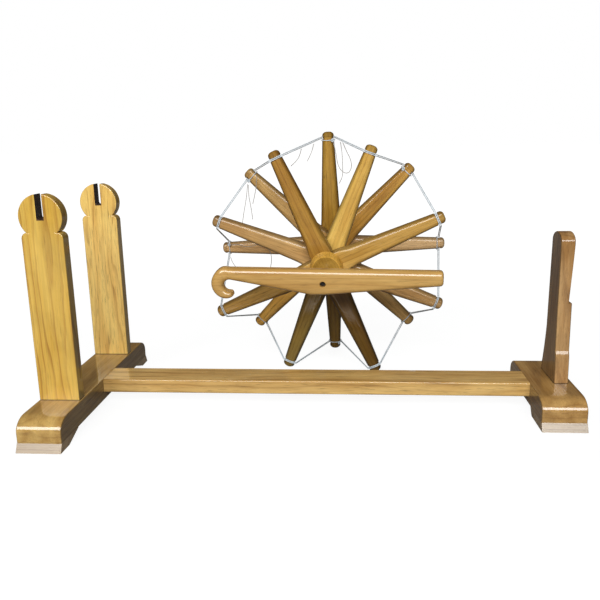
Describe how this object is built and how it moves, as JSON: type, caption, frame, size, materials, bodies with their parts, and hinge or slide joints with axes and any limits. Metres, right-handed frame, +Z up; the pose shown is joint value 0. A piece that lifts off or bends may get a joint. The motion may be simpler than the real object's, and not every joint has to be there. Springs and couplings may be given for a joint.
{
  "type": "charkha",
  "caption": "Floor charkha, knocked down: I-shaped base with slotted wheel uprights and a spindle post, and a loose corded wheel with a hooked crank leaning behind it.",
  "frame": {"origin": "on the floor, below the middle of the outer box", "axes": "+X along the beam from the wheel uprights to the spindle post, +Y from the front to the loose wheel at the back, +Z up"},
  "size_m": [0.842, 0.5592, 0.4506],
  "materials": {
    "base_teak": "varnished teak, satin gloss",
    "wheel_teak": "varnished teak, satin gloss",
    "crank_teak": "varnished light teak, glossy",
    "axle_steel": "plain steel rod, dull",
    "washer_leather": "oiled leather",
    "rim_cord": "white cotton cord",
    "loose_thread": "white cotton thread"
  },
  "bodies": {
    "base": {"beam": "base_teak", "left_foot": "base_teak", "right_foot": "base_teak", "front_upright": "base_teak", "rear_upright": "base_teak", "spindle_post": "base_teak", "left_front_pad": "base_teak", "left_rear_pad": "base_teak", "right_front_pad": "base_teak", "right_rear_pad": "base_teak"},
    "axle_washers": {"front_washer": "washer_leather", "rear_washer": "washer_leather"},
    "wheel": {"front_bar_1": "wheel_teak", "front_bar_2": "wheel_teak", "front_bar_3": "wheel_teak", "front_bar_4": "wheel_teak", "rear_bar_1": "wheel_teak", "rear_bar_2": "wheel_teak", "rear_bar_3": "wheel_teak", "rear_bar_4": "wheel_teak", "front_boss": "wheel_teak", "rear_boss": "wheel_teak", "hub_drum": "wheel_teak", "hub_arbor": "wheel_teak", "axle": "axle_steel", "crank": "crank_teak", "rim_strand_inner": "rim_cord", "rim_strand_outer": "rim_cord", "band_1": "rim_cord", "band_2": "rim_cord", "band_3": "rim_cord", "band_4": "rim_cord", "band_5": "rim_cord", "band_6": "rim_cord", "band_7": "rim_cord", "band_8": "rim_cord", "knot_1": "rim_cord", "knot_2": "rim_cord", "knot_5": "rim_cord", "knot_7": "rim_cord", "knot_8": "rim_cord", "thread_8_knot": "loose_thread", "thread_8_long": "loose_thread", "thread_8_right": "loose_thread", "thread_1_loop": "loose_thread", "thread_1_hook": "loose_thread", "thread_1_near": "loose_thread", "thread_1_far": "loose_thread", "thread_7_curl": "loose_thread", "thread_7_tail": "loose_thread"}
  },
  "joints": [
    {"name": "wheel_lift", "type": "slide", "parent": "base", "child": "axle_washers", "axis": [0, 0, 1], "range_m": [0, 0.2]},
    {"name": "wheel_spin", "type": "hinge", "parent": "axle_washers", "child": "wheel", "pos_m": [0.0214, 0.06646, 0.21045], "axis": [0.0316, 0.9941, 0.1038], "continuous": true}
  ]
}
